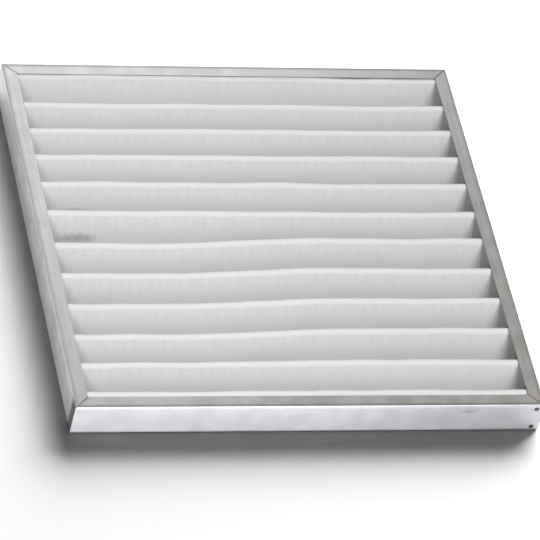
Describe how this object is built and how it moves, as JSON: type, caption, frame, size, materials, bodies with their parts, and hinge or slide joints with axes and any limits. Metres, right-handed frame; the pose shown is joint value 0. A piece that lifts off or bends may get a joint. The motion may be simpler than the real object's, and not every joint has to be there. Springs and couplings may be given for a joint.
{
  "type": "pleated panel air filter",
  "caption": "Square pleated panel air filter: one folded white nonwoven pack over a wire support mesh, held in a mitred sheet-metal channel frame.",
  "frame": {"origin": "centre of the bottom face, which is the air outlet side and lies on the surface", "axes": "+Z through the filter to the pleated air inlet face, +X along the pleats, -Y to the front rail"},
  "size_m": [0.5936, 0.5936, 0.045],
  "materials": {
    "galvanised_steel": "rolled galvanised sheet, satin",
    "rivet_metal": "dull",
    "mesh_wire": "galvanised wire, satin",
    "media": "matte nonwoven polyester",
    "key_plastic": "moulded, matte",
    "adhesive": "set adhesive, satin"
  },
  "bodies": {
    "root": {"front_rail": "galvanised_steel", "right_rail": "galvanised_steel", "rear_rail": "galvanised_steel", "left_rail": "galvanised_steel", "front_right_corner_key": "key_plastic", "rear_right_corner_key": "key_plastic", "rear_left_corner_key": "key_plastic", "front_left_corner_key": "key_plastic", "corner_rivets": "rivet_metal", "pleated_media": "media", "support_mesh": "mesh_wire", "left_edge_seal": "adhesive", "right_edge_seal": "adhesive", "front_foot_bead": "adhesive", "rear_foot_bead": "adhesive"}
  },
  "joints": []
}
